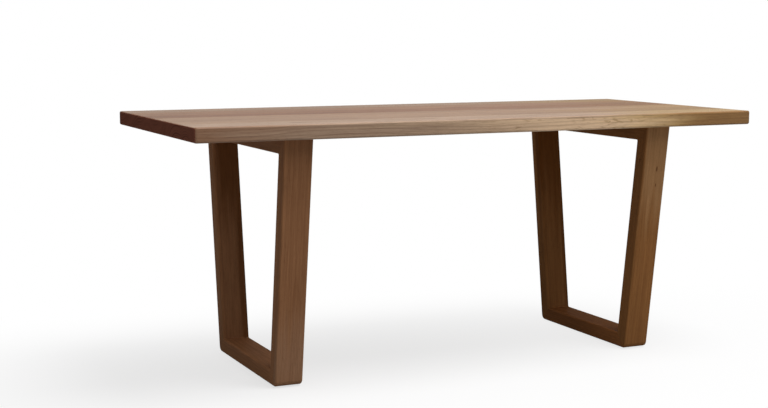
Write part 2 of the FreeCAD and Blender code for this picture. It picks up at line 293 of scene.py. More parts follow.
class Effect:
    """A shader node group that is built once and placed in many materials."""

    name: str = ""
    inputs: Mapping[str, SocketKind] = {}
    outputs: Mapping[str, SocketKind] = {}

    def group(self) -> bpy.types.NodeTree:
        """Returns the node group, built on its first use."""
        return bpy.data.node_groups.get(self.name) or self.build()

    def build(self) -> bpy.types.NodeTree:
        """Builds the node group with its named sockets.

        Returns:
            The new node group.
        """
        tree = bpy.data.node_groups.new(self.name, "ShaderNodeTree")
        for names, way in ((self.inputs, "INPUT"), (self.outputs, "OUTPUT")):
            for name, kind in names.items():
                tree.interface.new_socket(name, in_out=way, socket_type=kind.value)
        start, end = tree.nodes.new("NodeGroupInput"), tree.nodes.new("NodeGroupOutput")
        given = {socket.name: Signal(socket) for socket in start.outputs if socket.name}
        Wiring(tree).feed_named(end, self.wire(given))
        return tree

    def wire(self, given: Signals) -> Signals:
        """Makes the outputs from the inputs; each effect has its own way."""
        raise NotImplementedError


class BoardSpace(Effect):
    """Turns a place on the table into one on a board: along its grain, across it and through it."""

    name = "board_space"
    inputs = VECTORS("Place", "Middle", "Along", "Across")
    outputs = VECTORS("Board Place")

    def wire(self, given: Signals) -> Signals:
        """Measures the place along the board's three directions.

        Args:
            given: The group's inputs.

        Returns:
            The group's outputs.
        """
        offset, along, across = given["Place"] - given["Middle"], given["Along"], given["Across"]
        through = along.maths("CROSS_PRODUCT", across)
        return {"Board Place": offset.dot(along).join(offset.dot(across), offset.dot(through))}


@dataclass(frozen=True)
class Layer:
    """A layer of stretched noise: its runs along, across and through, its detail and its step's levels."""

    run: Triple
    detail: float
    levels: Pair


class SawnGrain(Effect):
    """Growth rings, long streaks, fine fibres and pores of a board sawn from a log."""

    name = "sawn_grain"
    inputs = VECTORS("Board Place", "Heart") | VALUES("Seed", "Ring Width", "Wander", "Figure", "Bulge")
    outputs = VALUES("Rings", "Streaks", "Fibres", "Pores", "Mottle")

    seed_step: Triple = (3.7, 11.3, 5.9)
    wander_run: Triple = (1.1, 0.0, 0.0)
    figure_run: Triple = (3.2, 13.0, 13.0)
    noise_middle: Triple = (0.5, 0.5, 0.5)
    drift_way: Triple = (0.0, 2.0, 2.0)
    crosswise: Triple = (0.0, 1.0, 1.0)
    uneven_run: float = 0.45
    uneven_years: float = 1.6
    late_rise: Pair = (0.2, 0.9)
    late_fall: Pair = (0.93, 1.0)
    faint_year: float = 0.35
    year_spread: float = 0.65
    layer_roughness: float = 0.6
    layers: Mapping[str, Layer] = {
        "Streaks": Layer((1.6, 130.0, 130.0), 4.0, (0.36, 0.7)),
        "Fibres": Layer((11.0, 900.0, 900.0), 2.0, (0.3, 0.7)),
        "Pores": Layer((42.0, 1500.0, 1500.0), 1.0, (0.6, 0.72)),
        "Mottle": Layer((2.3, 9.0, 9.0), 3.0, (0.25, 0.75)),
    }

    def drift(self, place: Signal, amount: Signal) -> Signal:
        """Returns a sideways drift of the rings, from noise at a place."""
        return (place.noise(output="Color") - self.noise_middle) * self.drift_way * amount

    def rings(self, given: Signals, shift: Signal) -> Signal:
        """Makes the growth rings round the heart of the log.

        Args:
            given: The group's inputs.
            shift: The board's own shift of all noise.

        Returns:
            How much late wood there is, from 0 to 1.
        """
        place, seed = given["Board Place"], given["Seed"]
        radial = place - given["Heart"]
        for run, amount in ((self.wander_run, given["Wander"]), (self.figure_run, given["Figure"])):
            radial = radial + self.drift(place * run + shift, amount)
        years = ((radial * self.crosswise).length() + given["Bulge"]) / given["Ring Width"]
        years = years + (years * self.uneven_run).join(seed, 0.0).noise() * self.uneven_years
        part = years.maths("FRACT")
        late = part.step(*self.late_rise) * part.fall(*self.late_fall)
        return late * ((years.maths("FLOOR") + seed).random() * self.year_spread + self.faint_year)

    def wire(self, given: Signals) -> Signals:
        """Makes each layer of the grain from the place on the board.

        Args:
            given: The group's inputs.

        Returns:
            The group's outputs.
        """
        shift = given["Seed"].thrice() * self.seed_step
        made = {"Rings": self.rings(given, shift)}
        for name, layer in self.layers.items():
            found = (given["Board Place"] * layer.run + shift).noise(layer.detail, self.layer_roughness)
            made[name] = found.step(*layer.levels)
        return made


class BranchKnot(Effect):
    """A small knot, and how it pushes the rings round it aside."""

    name = "branch_knot"
    inputs = VECTORS("Board Place", "Middle", "Branch") | VALUES("Radius", "Bulge Before", "Knots Before")
    outputs = VALUES("Bulge", "Knots")

    ragged_scale: float = 160.0
    ragged_detail: float = 3.0
    ragged_share: float = 0.5
    oval: Triple = (0.28, 1.0, 1.0)
    limits: Pair = (0.45, 1.4)
    push_fall: float = -0.16
    push_share: float = 1.6

    def wire(self, given: Signals) -> Signals:
        """Measures the distance from the branch's line and shades the knot by it.

        Args:
            given: The group's inputs.

        Returns:
            The group's outputs.
        """
        offset = given["Board Place"] - given["Middle"]
        line = given["Branch"].maths("NORMALIZE")
        away = (offset - line * offset.dot(line)) * self.oval
        ragged = (offset * self.ragged_scale).noise(self.ragged_detail)
        reach = away.length() / given["Radius"] + ragged * self.ragged_share
        push = (reach * reach * self.push_fall).maths("EXPONENT") * given["Radius"]
        return {"Bulge": push * self.push_share + given["Bulge Before"],
                "Knots": reach.fall(*self.limits).maths("MAXIMUM", given["Knots Before"])}


class TonePatch(Effect):
    """A part of a board that is paler or darker than the rest, with soft ragged limits."""

    name = "tone_patch"
    inputs = VECTORS("Board Place", "Middle", "Half Size", "Softness") | VALUES("Seed", "Patch Before")
    outputs = VALUES("Patch")

    ragged_run: Triple = (2.5, 45.0, 45.0)
    ragged_detail: float = 3.0
    ragged_spread: float = 2.0
    limits: Pair = (-0.7, 0.7)

    def wire(self, given: Signals) -> Signals:
        """Measures how far inside the patch a place is, in units of its softness.

        Args:
            given: The group's inputs.

        Returns:
            The group's outputs.
        """
        place, seed = given["Board Place"], given["Seed"]
        ragged = (place * self.ragged_run + seed.join(seed, 0.0)).noise(self.ragged_detail)
        ragged = ragged * self.ragged_spread - self.ragged_spread / 2
        away = (place - given["Middle"]).maths("ABSOLUTE")
        x, y, z = ((given["Half Size"] - away) / given["Softness"]).split()
        inside = x.maths("MINIMUM", y).maths("MINIMUM", z) + ragged
        return {"Patch": inside.step(*self.limits).maths("MAXIMUM", given["Patch Before"])}


class CurlFigure(Effect):
    """Short dark curling lines, as in wood from near a crotch of the tree."""

    name = "curl_figure"
    inputs = VECTORS("Board Place") | VALUES("Seed", "Patch")
    outputs = VALUES("Curl")

    line_run: Triple = (8.0, 40.0, 40.0)
    line_detail: float = 3.0
    line_roughness: float = 0.55
    line_count: float = 8.0
    line_middle: float = 0.5
    line_limits: Pair = (0.05, 0.26)
    break_run: Triple = (10.0, 44.0, 44.0)
    break_limits: Pair = (0.46, 0.62)

    def wire(self, given: Signals) -> Signals:
        """Draws contour lines of soft noise and breaks them up.

        Args:
            given: The group's inputs.

        Returns:
            The group's outputs.
        """
        place, shift = given["Board Place"], given["Seed"].thrice()
        level = (place * self.line_run + shift).noise(self.line_detail, self.line_roughness) * self.line_count
        away = (level.maths("FRACT") - self.line_middle).maths("ABSOLUTE")
        kept = (place * self.break_run - shift).noise().step(*self.break_limits)
        return {"Curl": away.fall(*self.line_limits) * kept * given["Patch"]}


class ArrisWearAndHighlight(Effect):
    """Where the edges of a board are rubbed, with gaps where hands and cloths miss. The same mask also paints
    a highlight along the arrises by lightening their colour.
    """

    name = "arris_wear_and_highlight"
    inputs = VECTORS("Board Place", "Half Size") | VALUES("Reach")
    outputs = VALUES("Wear")

    patch_run: Triple = (14.0, 40.0, 40.0)
    patch_detail: float = 4.0
    patch_levels: Pair = (0.2, 0.8)
    reach_shares: Pair = (0.3, 1.6)

    def wire(self, given: Signals) -> Signals:
        """Finds the distance from the nearest edge: the middle one of the distances from the three faces.

        Args:
            given: The group's inputs.

        Returns:
            The group's outputs.
        """
        x, y, z = (given["Half Size"] - given["Board Place"].maths("ABSOLUTE")).split()
        least, most = (x.maths(kind, y).maths(kind, z) for kind in ("MINIMUM", "MAXIMUM"))
        middle = x + y + z - least - most
        found = (given["Board Place"] * self.patch_run).noise(self.patch_detail)
        reach = given["Reach"] * found.step(*self.patch_levels, *self.reach_shares)
        return {"Wear": (middle / reach).fall(0.0, 1.0)}


@dataclass(frozen=True)
class Mark:
    """A kind of fine mark on wood: the mask that places it, its shade and how much of that shows."""

    mask: str
    shade: Triple
    share: float


class OiledWood(Effect):
    """Colour, roughness and relief of oiled wood from the layers of its grain."""

    name = "oiled_wood"
    inputs = (COLOURS("Early", "Late", "Streak", "Pale", "Deep", "End") | VECTORS("Facing", "Along")
              | VALUES("Rings", "Streaks", "Fibres", "Pores", "Mottle", "Knots", "Wear", "Curl", "Warm")
              | VALUES("Pale Patch", "Deep Patch", "Ring Depth", "Streak Depth", "Satin", "Film"))
    outputs = COLOURS("Colour") | VALUES("Roughness", "Height", "Film")

    patch_shares: Mapping[str, float] = {"Pale": 0.9, "Deep": 0.85}
    warm_shade: Triple = (0.97, 0.93, 0.57)
    ring_softness: float = 0.62
    # The edge mark lightens the arrises: partly rubbed wear, partly a painted highlight.
    marks: tuple[Mark, ...] = (
        Mark("Pores", (0.45, 0.38, 0.33), 0.5), Mark("Curl", (0.50, 0.40, 0.28), 0.6),
        Mark("Knots", (0.30, 0.22, 0.16), 0.9), Mark("Wear", (1.35, 1.33, 1.30), 0.5))
    end_facing: Pair = (0.55, 0.75)
    end_ring_share: float = 0.55
    fibre_light: Pair = (0.9, 1.08)
    fibre_rough: float = 0.1
    pore_rough: float = 0.15
    end_rough: float = 0.2
    fibre_height: float = 0.4
    ring_height: float = 0.35
    pore_height: float = -0.8
    pore_film: float = -0.5

    def tone(self, given: Signals) -> Signal:
        """Lays the broad tones, the patches and the rings over each other.

        Args:
            given: The group's inputs.

        Returns:
            The colour of the side grain.
        """
        colour = given["Early"].blend(given["Mottle"], given["Streak"])
        colour = colour.blend(given["Streaks"] * given["Streak Depth"], given["Late"])
        for name, share in self.patch_shares.items():
            colour = colour.blend(given[f"{name} Patch"] * share, given[name])
        colour = colour.blend(given["Warm"], colour.tinted(self.warm_shade))
        ring = colour.tinted(given["Late"]).blend(self.ring_softness, colour)
        return colour.blend(given["Rings"] * given["Ring Depth"], ring)

    def wire(self, given: Signals) -> Signals:
        """Lays end grain and fine marks over the tone, and finds the gloss and relief.

        Args:
            given: The group's inputs.

        Returns:
            The group's outputs.
        """
        rings, fibres, pores = given["Rings"], given["Fibres"], given["Pores"]
        end = given["Facing"].dot(given["Along"]).maths("ABSOLUTE").step(*self.end_facing)
        end_colour = given["End"].blend(rings * self.end_ring_share, BLACK)
        colour = self.tone(given).blend(end, end_colour)
        fine = colour.wiring.colour(WHITE)
        for mark in self.marks:
            fine = fine.blend(given[mark.mask] * mark.share, mark.shade)
        light = fibres.step(0.0, 1.0, *self.fibre_light).thrice()
        rough = given["Satin"] + fibres * self.fibre_rough + pores * self.pore_rough + end * self.end_rough
        height = fibres * self.fibre_height + rings * self.ring_height + pores * self.pore_height
        film = given["Film"] * (end * -1.0 + 1.0) * (pores * self.pore_film + 1.0)
        return {"Colour": colour.tinted(fine).tinted(light), "Roughness": rough, "Height": height,
                "Film": film}


class Grime(Effect):
    """Soft uneven dirt or tarnish."""

    name = "grime"
    inputs = VECTORS("Place") | VALUES("Patch Size", "Cover")
    outputs = VALUES("Mask")

    detail: float = 5.0
    roughness: float = 0.6
    bare_level: float = 0.8
    cover_share: float = -0.6
    softness: float = 0.15

    def wire(self, given: Signals) -> Signals:
        """Steps rough noise at a level set by the cover.

        Args:
            given: The group's inputs.

        Returns:
            The group's outputs.
        """
        found = (given["Place"] / given["Patch Size"]).noise(self.detail, self.roughness)
        edge = given["Cover"] * self.cover_share + self.bare_level
        return {"Mask": found.step(edge - self.softness, edge + self.softness)}


class FineTexture(Effect):
    """Fine even texture of a coat of powder or of a moulded surface."""

    name = "fine_texture"
    inputs = VECTORS("Place") | VALUES("Grain")
    outputs = VALUES("Height", "Tint")

    height_levels: Pair = (0.25, 0.75)
    tint_run: float = 0.07
    tint_detail: float = 4.0
    tint_levels: Pair = (0.3, 0.7)

    def wire(self, given: Signals) -> Signals:
        """Makes noise at the size of the grain, and a slower tint.

        Args:
            given: The group's inputs.

        Returns:
            The group's outputs.
        """
        place = given["Place"] / given["Grain"]
        tint = (place * self.tint_run).noise(self.tint_detail)
        return {"Height": place.noise().step(*self.height_levels), "Tint": tint.step(*self.tint_levels)}


class TurnedMarks(Effect):
    """Fine rings that a lathe leaves round an upright piece."""

    name = "turned_marks"
    inputs = VECTORS("Place") | VALUES("Pitch")
    outputs = VALUES("Marks")

    around_run: float = 260.0
    detail: float = 3.0
    roughness: float = 0.6
    levels: Pair = (0.3, 0.7)

    def wire(self, given: Signals) -> Signals:
        """Makes noise that is fine along the axis and slow round it.

        Args:
            given: The group's inputs.

        Returns:
            The group's outputs.
        """
        x, y, z = given["Place"].split()
        place = (x * self.around_run).join(y * self.around_run, z / given["Pitch"])
        return {"Marks": place.noise(self.detail, self.roughness).step(*self.levels)}


# Finishes

def empty_nodes(owner: Union[bpy.types.Material, bpy.types.World]) -> Wiring:
    """Empties a material's or world's own nodes.

    Args:
        owner: The material or world.

    Returns:
        The wiring of its nodes.
    """
    owner.use_nodes = True
    owner.node_tree.nodes.clear()
    return Wiring(owner.node_tree)


def new_material(name: str) -> tuple[bpy.types.Material, bpy.types.Node, Wiring]:
    """Makes a material with only a main shader.

    Args:
        name: The material's name.

    Returns:
        The material, its main shader and the wiring of its nodes.
    """
    made = bpy.data.materials.new(name)
    wiring = empty_nodes(made)
    shader = wiring.node("BsdfPrincipled")
    wiring.node("OutputMaterial", Signal(shader.outputs["BSDF"]))
    return made, shader, wiring


@dataclass(frozen=True)
class Relief:
    """How strongly a fine relief shows, and its real depth."""

    strength: float
    depth: float

    def normal(self, height: Signal) -> Signal:
        """Makes the surface's normal.

        Args:
            height: The height of the relief, from 0 to 1.

        Returns:
            The normal.
        """
        bump = height.wiring.node("Bump")
        height.wiring.feed_named(bump, {"Strength": self.strength, "Distance": self.depth, "Height": height})
        return Signal(bump.outputs["Normal"])


@dataclass(frozen=True)
class WoodTone:
    """Colours of one kind of board: its mean, its pale and deep parts, and its end grain."""

    mean: Triple
    pale: Triple = (0.50, 0.32, 0.19)
    deep: Triple = (0.30, 0.15, 0.08)
    end: Triple = (0.32, 0.118, 0.075)

    def shade(self, share: Triple) -> Triple:
        """Returns the mean colour with each channel scaled."""
        return tuple(channel * part for channel, part in zip(self.mean, share))

    @property
    def early(self) -> Triple:
        """Colour of the soft wood between rings."""
        return self.shade((1.36, 1.38, 1.40))

    @property
    def streak(self) -> Triple:
        """Colour of the broad streaks."""
        return self.shade((1.03, 1.03, 1.03))

    @property
    def late(self) -> Triple:
        """Colour of the dense wood in rings."""
        return self.shade((0.78, 0.73, 0.68))


class BoardTone(Enum):
    """Tones that the boards were picked for. The foot-rail tones are the frames' wood with painted light and
    shade: the left one lighter, the right one darker.
    """

    # FRONT's pale colour is brighter than wood grows: partly pale wood, partly painted light on the front
    # edge.
    FRONT = WoodTone((0.380, 0.253, 0.170), (0.96, 0.68, 0.435), (0.285, 0.141, 0.072))
    LIGHT = WoodTone((0.300, 0.182, 0.110))
    TAN = WoodTone((0.305, 0.182, 0.108))
    RED = WoodTone((0.205, 0.094, 0.043))
    BROWN = WoodTone((0.245, 0.125, 0.064))
    GREY = WoodTone((0.278, 0.173, 0.107))
    LEFT_FRAME = WoodTone((0.330, 0.154, 0.071), (0.40, 0.215, 0.12), (0.19, 0.07, 0.02),
                          (0.25, 0.105, 0.045))
    RIGHT_FRAME = WoodTone((0.292, 0.128, 0.0425), (0.47, 0.25, 0.11), (0.175, 0.06, 0.012),
                           (0.24, 0.095, 0.035))
    # Foot rails: the frames' wood, the left one painted lighter and the right one painted darker, as lit and
    # shaded copies.
    LEFT_FOOT = WoodTone((0.395, 0.182, 0.082), end=(0.25, 0.105, 0.045))
    RIGHT_FOOT = WoodTone((0.285, 0.114, 0.037), end=(0.24, 0.095, 0.035))
    BARE = WoodTone((0.58, 0.43, 0.28), end=(0.45, 0.32, 0.20))


@dataclass(frozen=True)
class Knot:
    """A knot's middle on its board, the line of its branch and its radius."""

    middle: Triple
    branch: Triple
    radius: float


@dataclass(frozen=True)
class Patch:
    """A part of a board with another tone: its middle, half size and softness along, across and through."""

    middle: Triple
    half_size: Triple
    softness: Triple


@dataclass(frozen=True)
class Board:
    """How one board was sawn, and its marks."""

    tone: BoardTone
    seed: float
    heart: Pair
    ring_width: float
    wander: float = 0.02
    figure: float = 0.006
    knots: tuple[Knot, ...] = ()
    pale: tuple[Patch, ...] = ()
    deep: tuple[Patch, ...] = ()
    warm: tuple[Patch, ...] = ()
    curl: tuple[Patch, ...] = ()


@dataclass(frozen=True)
class Lie:
    """How a board lies in the table: its middle, its grain, the way across it and its box for the rubbed
    edges with their painted highlight.
    """

    middle: Triple
    along: Triple
    across: Triple
    wear_and_highlight_middle: Triple
    wear_and_highlight_half: Triple


@dataclass(frozen=True)
class WoodFinish:
    """Oiled wood with its grain in the whole thickness of a board."""

    satin: float = 0.46
    relief: Relief = Relief(0.25, 0.0004)
    wear_and_highlight_reach: float = 0.007
    ring_depth: float = 0.9
    streak_depth: float = 0.6
    film: float = 0.6
    film_roughness: float = 0.45
    deep_step: float = 0.5
    warm_step: float = 0.7
    curl_step: float = 0.9

    def patches(self, place: Signal, patches: tuple[Patch, ...], seed: float) -> Feed:
        """Makes the mask of all of a board's patches of one tone.

        Args:
            place: The place on the board.
            patches: The patches.
            seed: What sets their ragged limits apart from others.

        Returns:
            The mask, or 0 if there are no patches.
        """
        mask: Feed = 0.0
        for patch in patches:
            mask = place.wiring.effect(
                TonePatch(), Board_Place=place, Middle=patch.middle, Half_Size=patch.half_size,
                Softness=patch.softness, Seed=seed, Patch_Before=mask)["Patch"]
        return mask

    def material(self, name: str, board: Board, lie: Lie) -> bpy.types.Material:
        """Makes the material of one board.

        Args:
            name: The material's name.
            board: How the board was sawn.
            lie: How the board lies in the table.

        Returns:
            The new material.
        """
        made, shader, wiring = new_material(name)
        spot = wiring.signal("TexCoord", output="Object")
        space, wear_and_highlight_space = (
            wiring.effect(BoardSpace(), Place=spot, Middle=middle, Along=lie.along,
                          Across=lie.across)["Board Place"]
            for middle in (lie.middle, lie.wear_and_highlight_middle))
        grown: Mapping[str, Feed] = {"Bulge": 0.0, "Knots": 0.0}
        for knot in board.knots:
            grown = wiring.effect(
                BranchKnot(), Board_Place=space, Middle=knot.middle, Branch=knot.branch, Radius=knot.radius,
                Bulge_Before=grown["Bulge"], Knots_Before=grown["Knots"])
        grain = wiring.effect(
            SawnGrain(), Board_Place=space, Heart=(0.0, *board.heart), Seed=board.seed,
            Ring_Width=board.ring_width, Wander=board.wander, Figure=board.figure, Bulge=grown["Bulge"])
        # Edge mask: rubbed wear and a painted highlight along the arrises.
        wear_and_highlight = wiring.effect(
            ArrisWearAndHighlight(), Board_Place=wear_and_highlight_space, Half_Size=lie.wear_and_highlight_half, Reach=self.wear_and_highlight_reach)
        curl: Feed = 0.0
        if board.curl:
            figured = self.patches(space, board.curl, board.seed + self.curl_step)
            curl = wiring.effect(CurlFigure(), Board_Place=space, Seed=board.seed, Patch=figured)["Curl"]
        tone = board.tone.value
        wood = wiring.effect(
            OiledWood(), Early=tone.early, Late=tone.late, Streak=tone.streak, Pale=tone.pale, Deep=tone.deep,
            End=tone.end, Knots=grown["Knots"], Curl=curl, **wear_and_highlight, **grain,
            Pale_Patch=self.patches(space, board.pale, board.seed),
            Deep_Patch=self.patches(space, board.deep, board.seed + self.deep_step),
            Warm=self.patches(space, board.warm, board.seed + self.warm_step),
            Ring_Depth=self.ring_depth, Streak_Depth=self.streak_depth, Satin=self.satin, Film=self.film,
            Facing=wiring.signal("TexCoord", output="Normal"), Along=lie.along)
        wiring.feed_named(shader, {
            "Base Color": wood["Colour"], "Roughness": wood["Roughness"],
            "Normal": self.relief.normal(wood["Height"]), "Specular IOR Level": 0.0,
            "Coat Weight": wood["Film"], "Coat Roughness": self.film_roughness})
        return made


@dataclass(frozen=True, kw_only=True)
class PlainFinish:
    """A finish that is alike all over: two tones, dirt on them and a fine relief."""

    colour: Triple
    second: Triple
    dirt: Triple
    cover: float
    patch_size: float
    rough: float
    fine_rough: float
    dirt_rough: float
    second_share: float = 1.0
    dirt_share: float
    grain: float
    relief: Relief
    metallic: float = 0.0

    def texture(self, place: Signal) -> tuple[Signal, Signal, Signal]:
        """Returns the masks of the second tone and of the fine roughness, and the relief's height."""
        fine = place.wiring.effect(FineTexture(), Place=place, Grain=self.grain)
        return fine["Tint"], fine["Tint"], fine["Height"]

    def soil(self, place: Signal) -> Signal:
        """Returns the mask of the dirt."""
        return place.wiring.effect(Grime(), Place=place, Patch_Size=self.patch_size, Cover=self.cover)["Mask"]

    def material(self, name: str) -> bpy.types.Material:
        """Makes the finish's material.

        Args:
            name: The material's name.

        Returns:
            The new material.
        """
        made, shader, wiring = new_material(name)
        place = wiring.signal("TexCoord", output="Object")
        tint, fine, height = self.texture(place)
        soil = self.soil(place)
        colour = wiring.colour(self.colour).blend(tint * self.second_share, self.second)
        wiring.feed_named(shader, {
            "Base Color": colour.blend(soil * self.dirt_share, self.dirt), "Metallic": self.metallic,
            "Roughness": fine * self.fine_rough + soil * self.dirt_rough + self.rough,
            "Normal": self.relief.normal(height)})
        return made


@dataclass(frozen=True, kw_only=True)
class MachinedMetal(PlainFinish):
    """Bare turned metal with lathe marks and some tarnish."""

    patch_size: float = 0.006
    rough: float = 0.24
    fine_rough: float = 0.12
    dirt_rough: float = 0.25
    second_share: float = 0.35
    dirt_share: float = 0.7
    grain: float = 0.00018
    relief: Relief = Relief(0.12, 0.00004)
    metallic: float = 1.0

    def texture(self, place: Signal) -> tuple[Signal, Signal, Signal]:
        """Returns the lathe marks as both masks and as the relief's height."""
        marks = place.wiring.effect(TurnedMarks(), Place=place, Pitch=self.grain)["Marks"]
        return marks, marks, marks


@dataclass(frozen=True, kw_only=True)
class PowderCoat(PlainFinish):
    """Matt black powder coat with a fine orange-peel surface."""

    colour: Triple = (0.020, 0.020, 0.021)
    second: Triple = (0.034, 0.034, 0.036)
    dirt: Triple = (0.17, 0.155, 0.135)
    cover: float = 0.3
    patch_size: float = 0.02
    rough: float = 0.5
    fine_rough: float = 0.1
    dirt_rough: float = 0.2
    dirt_share: float = 0.2
    grain: float = 0.0009
    relief: Relief = Relief(0.35, 0.00012)


@dataclass(frozen=True, kw_only=True)
class MouldedNylon(PlainFinish):
    """Moulded black nylon, scuffed where it meets the floor."""

    colour: Triple = (0.026, 0.026, 0.028)
    second: Triple = (0.045, 0.045, 0.047)
    dirt: Triple = (0.19, 0.18, 0.165)
    cover: float = 0.45
    patch_size: float = 0.004
    rough: float = 0.52
    fine_rough: float = 0.1
    dirt_rough: float = 0.25
    dirt_share: float = 0.6
    grain: float = 0.0004
    relief: Relief = Relief(0.4, 0.00006)
    scuff_height: float = 0.0016
    scuff_above: float = 0.15

    def texture(self, place: Signal) -> tuple[Signal, Signal, Signal]:
        """Returns the mask of the second tone, and the relief's height also as that of the fine roughness."""
        tint, _, height = super().texture(place)
        return tint, height, height

    def soil(self, place: Signal) -> Signal:
        """Returns the mask of the scuffs, strongest at the floor."""
        return super().soil(place) * place.split()[2].step(0.0, self.scuff_height, 1.0, self.scuff_above)


STAINLESS = MachinedMetal(colour=(0.60, 0.59, 0.57), second=(0.432, 0.4248, 0.4104), dirt=(0.30, 0.28, 0.25),
                          cover=0.3)
BRASS = MachinedMetal(colour=(0.74, 0.53, 0.22), second=(0.5328, 0.3816, 0.1584), dirt=(0.34, 0.20, 0.08),
                      cover=0.5, rough=0.3)


def dress(node: str, material: bpy.types.Material) -> None:
    """Gives a CAD node its finish and reports it."""
    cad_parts[node].material_slots[0].material = material
    LOG.info("%s dressed in %s", node, material.name)


def middle_of(node: str) -> Triple:
    """Returns the middle of a CAD node's box."""
    low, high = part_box(node)
    return tuple((start + end) / 2 for start, end in zip(low, high))


# Turned forms

@dataclass(frozen=True)
class Turn:
    """One ring of a turned form: its radius, its height and its outline.

    The radius of a hexagon is half its width across flats. The depth is that of the ribs or of the thread.
    """

    radius: float
    height: float
    outline: Outline = Outline.ROUND
    depth: float = 0.0
    pitch: float = 1.0

    def reach(self, step: int, steps: int) -> float:
        """Finds the distance from the axis at one of the ring's points.

        Args:
            step: Which point, counted round the axis.
            steps: How many points the ring has.

        Returns:
            The distance from the axis.
        """
        if self.outline is Outline.HEXAGON:
            angle = math.tau * step / steps
            return self.radius / math.cos(angle % (math.pi / 3) - math.pi / 6)
        if self.outline is Outline.RIBBED:
            return self.radius - self.depth * (step % 2)
        if self.outline is Outline.THREAD:
            phase = (self.height / self.pitch - step / steps) % 1.0
            return self.radius - self.depth * abs(2 * phase - 1)
        return self.radius


@dataclass(frozen=True)
class Thread:
    """A screw thread: its pitch, its depth and the chamfer at its tip."""

    pitch: float
    depth: float
    chamfer: float = 0.001
    rings_per_pitch: int = 6

    def turns(self, radius: float, start: float, tip: float) -> list[Turn]:
        """Makes the rings of a threaded shank.

        Args:
            radius: The thread's outer radius.
            start: The height where the thread runs out.
            tip: The height of the shank's end.

        Returns:
            The rings from the run-out to the tip.
        """
        rings = []
        count = math.ceil((tip - start) / self.pitch * self.rings_per_pitch)
        for number in range(count + 1):
            height = start + (tip - start) * number / count
            rise = min(1.0, (height - start) / self.pitch)
            outer = radius - max(0.0, height - (tip - self.chamfer))
            depth = max(0.0, min(self.depth * rise, outer - (radius - self.depth)))
            rings.append(Turn(outer, height, Outline.THREAD, depth, self.pitch))
        return rings


@dataclass(frozen=True)
class HexSocket:
    """A hexagon socket in a head: half its width across flats, its depth and the chamfer of its mouth."""

    half: float
    depth: float
    mouth_extra: float
    mouth_depth: float
    tip_share: float = 1 / 8

    def turns(self, low: float) -> list[Turn]:
        """Makes the rings of the socket.

        Args:
            low: The height of the head's lowest face.

        Returns:
            The rings from the socket's end to its mouth.
        """
        mouth = self.half * 2 / math.sqrt(3) + self.mouth_extra
        return [Turn(self.half * self.tip_share, low + self.depth + self.mouth_depth * 2),
                Turn(self.half, low + self.depth, Outline.HEXAGON),
                Turn(self.half, low + self.mouth_depth, Outline.HEXAGON),
                Turn(mouth, low)]


METRIC_THREAD = Thread(0.00125, 0.0007)
WOOD_THREAD = Thread(0.0026, 0.0009)


def quarter_turn(steps: int) -> list[Pair]:
    """Returns the sine and cosine at even steps through a quarter turn."""
    angles = [math.pi / 2 * step / steps for step in range(steps + 1)]
    return [(math.sin(angle), math.cos(angle)) for angle in angles]


def turned_mesh(profile: Sequence[Turn], axes: Sequence[Pair], looped: bool = False, segments: int = 48,
                sharp_angle: float = math.radians(32)) -> bpy.types.Mesh:
    """Makes the same turned form round each of several upright axes.

    Args:
        profile: The form's rings, counterclockwise in a section through its axis.
        axes: The (x, y) place of each axis.
        looped: Whether the last ring joins the first, as in a washer; or else both ends are closed.
        segments: How many points each ring has.
        sharp_angle: Edges that bend more than this stay sharp.

    Returns:
        The new mesh.
    """
    points: list[Triple] = []
    faces: list[tuple[int, ...]] = []
    for x, y in axes:
        base = len(points)
        for turn in profile:
            for step in range(segments):
                angle, reach = math.tau * step / segments, turn.reach(step, segments)
                points.append((x + reach * math.cos(angle), y + reach * math.sin(angle), turn.height))
        rings = [range(start, start + segments) for start in range(base, len(points), segments)]
        pairs = list(zip(rings, rings[1:])) + ([(rings[-1], rings[0])] if looped else [])
        for lower, upper in pairs:
            for step in range(segments):
                after = (step + 1) % segments
                faces.append((lower[step], lower[after], upper[after], upper[step]))
        if not looped:
            faces += [tuple(reversed(rings[0])), tuple(rings[-1])]
    mesh = bpy.data.meshes.new("turned")
    mesh.from_pydata(points, [], faces)
    mesh.shade_smooth()
    mesh.set_sharp_from_angle(angle=sharp_angle)
    return mesh


def add_object(name: str, data: bpy.types.ID) -> bpy.types.Object:
    """Adds an object to the scene.

    Args:
        name: The object's name.
        data: Its mesh, light or camera.

    Returns:
        The new object.
    """
    made = bpy.data.objects.new(name, data)
    bpy.context.scene.collection.objects.link(made)
    return made


def add_piece(name: str, mesh: bpy.types.Mesh, material: bpy.types.Material, node: str,
              body: str = "table") -> None:
    """Adds a detailed piece in place of a CAD node.

    Args:
        name: The piece's name.
        mesh: Its mesh, in the table's frame.
        material: Its finish.
        node: The CAD node that it stands for.
        body: The body that it moves with.
    """
    mesh.name = name
    mesh.materials.append(material)
    made = add_object(name, mesh)
    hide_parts(node)
    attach(made, body)
    LOG.info("%s added in place of %s", name, node)


# Sub-assemblies

def warm_end(half_length: float, softness: float, end: float = 0.95) -> tuple[Patch, ...]:
    """Returns the warmer wood at a plank's right end."""
    return (Patch((end, 0.0, 0.0), (half_length, 1.0, 1.0), (softness, 1.0, 1.0)),)


